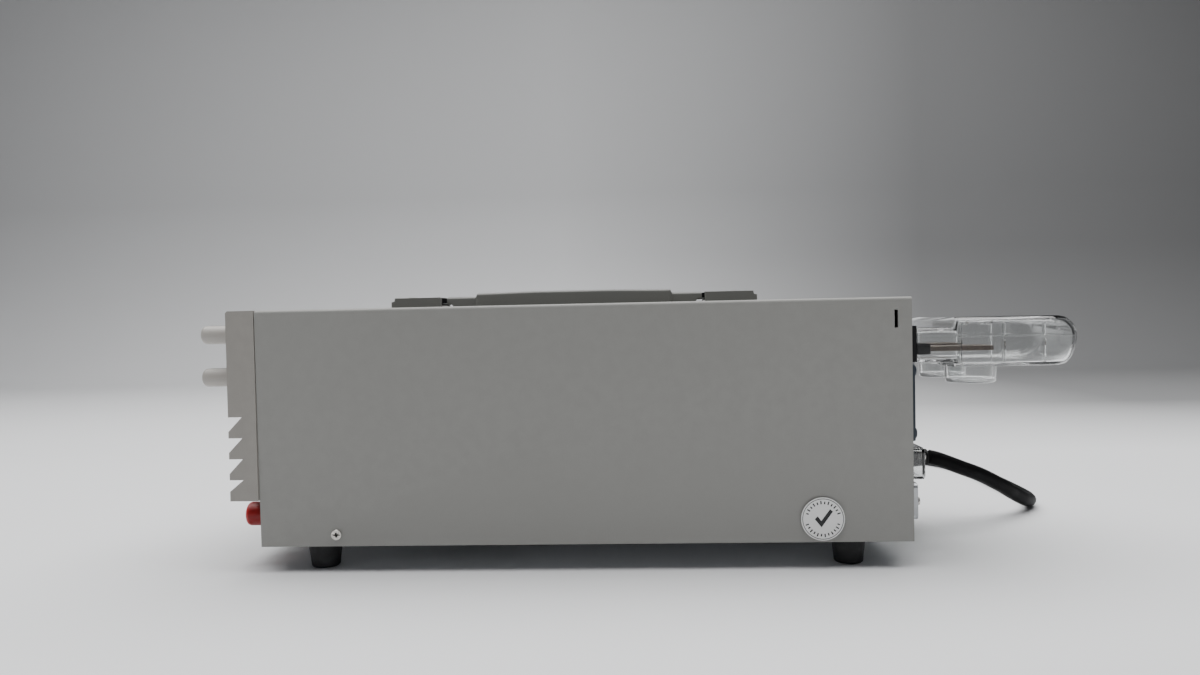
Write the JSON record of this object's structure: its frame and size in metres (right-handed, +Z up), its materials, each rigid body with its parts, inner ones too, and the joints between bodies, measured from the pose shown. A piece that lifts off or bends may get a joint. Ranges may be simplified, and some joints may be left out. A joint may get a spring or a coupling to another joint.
{
  "type": "bench power supply",
  "caption": "Compact bench DC power supply: steel case on rubber feet, louvred front with knobs, keys and posts, strap handle, rear bus bars under a clear cover, mains lead.",
  "frame": {"origin": "on the ground under the middle of the unit, without its mains lead", "axes": "+Z up, front panel towards -Y, the unit's right-hand side towards +X"},
  "size_m": [0.3347, 0.4992, 0.1472],
  "materials": {
    "case_paint": "fine-textured light grey powder coat",
    "zinc_plate": "zinc-plated sheet steel",
    "nickel_plate": "satin nickel plate",
    "bezel_plastic": "light grey moulded plastic, fine grain",
    "smoked_window": "polished smoked plastic",
    "dark_plastic": "black moulded plastic",
    "circuit_board": "green solder-masked glass board",
    "key_plastic": "mid grey key plastic",
    "knob_plastic": "light grey knob plastic",
    "red_plastic": "red moulded plastic",
    "white_plastic": "off-white moulded plastic",
    "green_plastic": "green moulded plastic",
    "foot_rubber": "black moulded rubber",
    "strap_plastic": "mid grey soft plastic",
    "guard_plastic": "blue-black moulded plastic",
    "clear_plastic": "clear polycarbonate",
    "bare_aluminium": "extruded aluminium",
    "ferrite_core": "ferrite and taped winding",
    "capacitor_sleeve": "shrink-sleeved can",
    "copper_wire": "enamelled copper winding",
    "cord_rubber": "black cable jacket",
    "plug_plastic": "mid grey moulded plug"
  },
  "bodies": {
    "root": {"top_cover": "case_paint", "chassis_base": "zinc_plate", "rear_panel": "case_paint", "front_subpanel": "case_paint", "cover_screw_right_front": "nickel_plate", "cover_screw_right_rear": "nickel_plate", "cover_screw_left_front": "nickel_plate", "cover_screw_left_rear": "nickel_plate", "front_bezel": "bezel_plastic", "display_window": "smoked_window", "display_module": "dark_plastic", "front_panel_board": "circuit_board", "voltage_encoder": "nickel_plate", "current_encoder": "nickel_plate", "power_switch_body": "dark_plastic", "positive_post_base": "nickel_plate", "ground_post_base": "nickel_plate", "negative_post_base": "nickel_plate", "foot_front_left": "foot_rubber", "foot_front_right": "foot_rubber", "foot_rear_left": "foot_rubber", "foot_rear_right": "foot_rubber", "handle_cap_front": "strap_plastic", "handle_cap_rear": "strap_plastic", "fan_frame": "dark_plastic", "fan_guard": "guard_plastic", "output_terminal_base": "dark_plastic", "negative_bus_bar": "nickel_plate", "positive_bus_bar": "nickel_plate", "output_cover_lower": "clear_plastic", "ac_terminal_block": "dark_plastic", "ac_terminal_cover": "clear_plastic", "cord_strain_relief": "cord_rubber", "control_connector": "dark_plastic", "main_board": "circuit_board", "primary_heatsink": "bare_aluminium", "secondary_heatsink": "bare_aluminium", "main_transformer": "ferrite_core", "bulk_capacitor": "capacitor_sleeve", "filter_choke": "copper_wire", "power_cord": "cord_rubber", "cord_coil": "cord_rubber", "cord_plug": "plug_plastic"},
    "voltage_knob": {"voltage_knob": "knob_plastic", "voltage_shaft": "nickel_plate"},
    "current_knob": {"current_knob": "knob_plastic", "current_shaft": "nickel_plate"},
    "output_key": {"output_key": "white_plastic"},
    "set_key": {"set_key": "key_plastic"},
    "limit_key": {"limit_key": "key_plastic"},
    "lock_key": {"lock_key": "key_plastic"},
    "power_rocker": {"power_rocker": "dark_plastic"},
    "positive_post_cap": {"positive_post_cap": "red_plastic"},
    "ground_post_cap": {"ground_post_cap": "green_plastic"},
    "negative_post_cap": {"negative_post_cap": "white_plastic"},
    "handle": {"handle_strap": "strap_plastic"},
    "tongue_front": {"handle_tongue_front": "nickel_plate"},
    "tongue_rear": {"handle_tongue_rear": "nickel_plate"},
    "fan_rotor": {"fan_rotor": "dark_plastic"},
    "output_cover_upper": {"output_cover_upper": "clear_plastic"}
  },
  "joints": [
    {"name": "voltage_knob_turn", "type": "hinge", "parent": "root", "child": "voltage_knob", "pos_m": [0.05625, -0.22395, 0.1256], "axis": [0, 1, 0], "continuous": true},
    {"name": "current_knob_turn", "type": "hinge", "parent": "root", "child": "current_knob", "pos_m": [0.05625, -0.22395, 0.1027], "axis": [0, 1, 0], "continuous": true},
    {"name": "output_key_press", "type": "slide", "parent": "root", "child": "output_key", "axis": [0, 1, 0], "range_m": [0, 0.001], "stiffness_N_per_m": 600, "springref_m": -0.001},
    {"name": "set_key_press", "type": "slide", "parent": "root", "child": "set_key", "axis": [0, 1, 0], "range_m": [0, 0.001], "stiffness_N_per_m": 600, "springref_m": -0.001},
    {"name": "limit_key_press", "type": "slide", "parent": "root", "child": "limit_key", "axis": [0, 1, 0], "range_m": [0, 0.001], "stiffness_N_per_m": 600, "springref_m": -0.001},
    {"name": "lock_key_press", "type": "slide", "parent": "root", "child": "lock_key", "axis": [0, 1, 0], "range_m": [0, 0.001], "stiffness_N_per_m": 600, "springref_m": -0.001},
    {"name": "power_rocker_tilt", "type": "hinge", "parent": "root", "child": "power_rocker", "pos_m": [-0.048, -0.19795, 0.0262], "axis": [1, 0, 0], "range_deg": [0, 18]},
    {"name": "positive_post_unscrew", "type": "slide", "parent": "root", "child": "positive_post_cap", "axis": [0, -1, 0], "range_m": [0, 0.004]},
    {"name": "ground_post_unscrew", "type": "slide", "parent": "root", "child": "ground_post_cap", "axis": [0, -1, 0], "range_m": [0, 0.004]},
    {"name": "negative_post_unscrew", "type": "slide", "parent": "root", "child": "negative_post_cap", "axis": [0, -1, 0], "range_m": [0, 0.004]},
    {"name": "handle_lift", "type": "slide", "parent": "root", "child": "handle", "axis": [0, 0, 1], "range_m": [0, 0.025], "stiffness_N_per_m": 120, "springref_m": -0.002},
    {"name": "tongue_front_slide", "type": "slide", "parent": "root", "child": "tongue_front", "axis": [0, 1, 0], "range_m": [0, 0.00375]},
    {"name": "tongue_rear_slide", "type": "slide", "parent": "root", "child": "tongue_rear", "axis": [0, -1, 0], "range_m": [0, 0.00375]},
    {"name": "fan_spin", "type": "hinge", "parent": "root", "child": "fan_rotor", "pos_m": [0.046, 0.12605, 0.084], "axis": [0, 1, 0], "continuous": true},
    {"name": "output_cover_lift", "type": "slide", "parent": "root", "child": "output_cover_upper", "axis": [0, 0, 1], "range_m": [0, 0.04]}
  ],
  "couplings": [
    {"joint": "tongue_front_slide", "follows": "handle_lift", "ratio": 0.15},
    {"joint": "tongue_rear_slide", "follows": "handle_lift", "ratio": 0.15}
  ]
}
